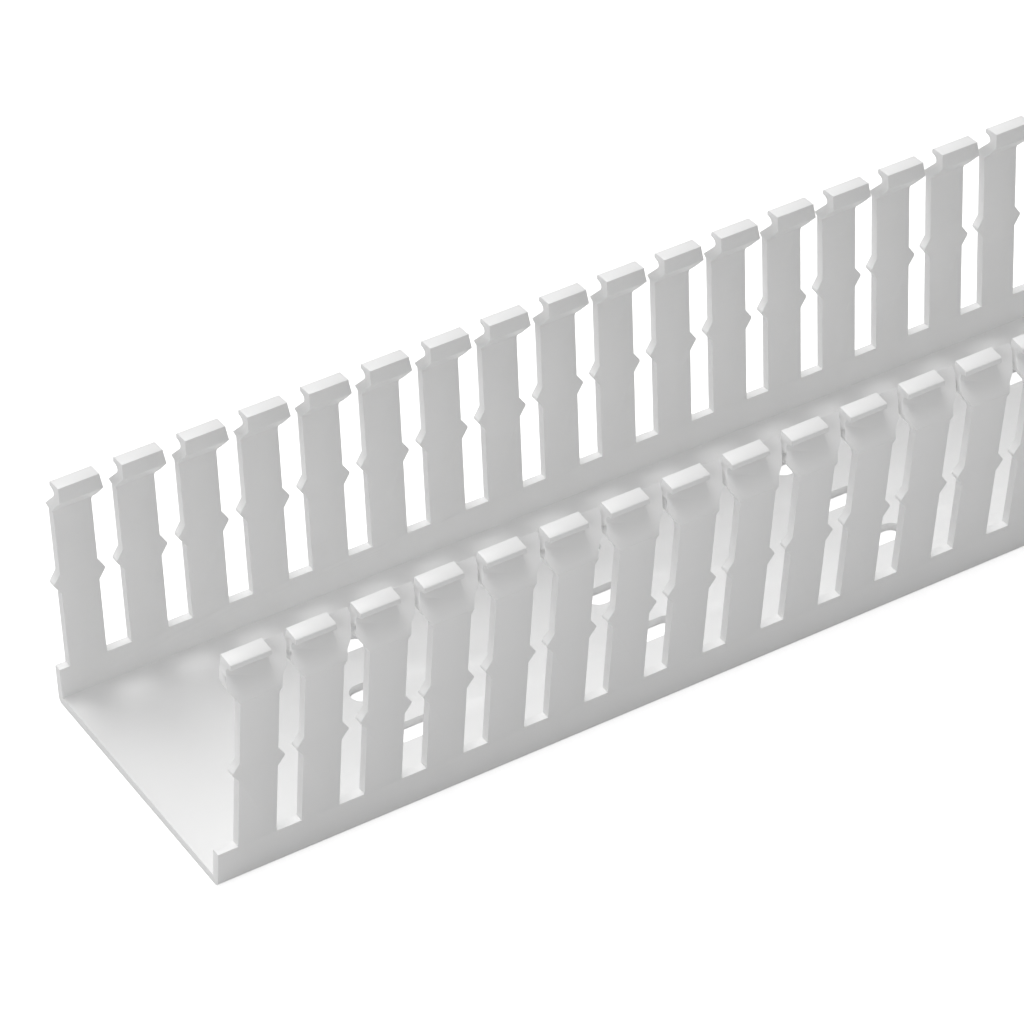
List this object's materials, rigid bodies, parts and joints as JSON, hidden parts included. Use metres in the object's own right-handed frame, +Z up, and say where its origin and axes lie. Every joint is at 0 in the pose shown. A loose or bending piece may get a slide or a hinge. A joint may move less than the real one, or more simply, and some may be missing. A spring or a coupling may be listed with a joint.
{
  "type": "slotted wire duct",
  "caption": "Open-topped white slotted wiring duct channel with punched fingers, cover-retaining lips, wire retaining nubs and a perforated base.",
  "frame": {"origin": "middle of the channel's length and width, on the underside of the base", "axes": "+X along the duct, +Y across it, +Z up out of the open top"},
  "size_m": [1, 0.0636, 0.0493],
  "materials": {
    "white_pvc": "satin"
  },
  "bodies": {
    "root": {"duct_channel": "white_pvc"}
  },
  "joints": []
}
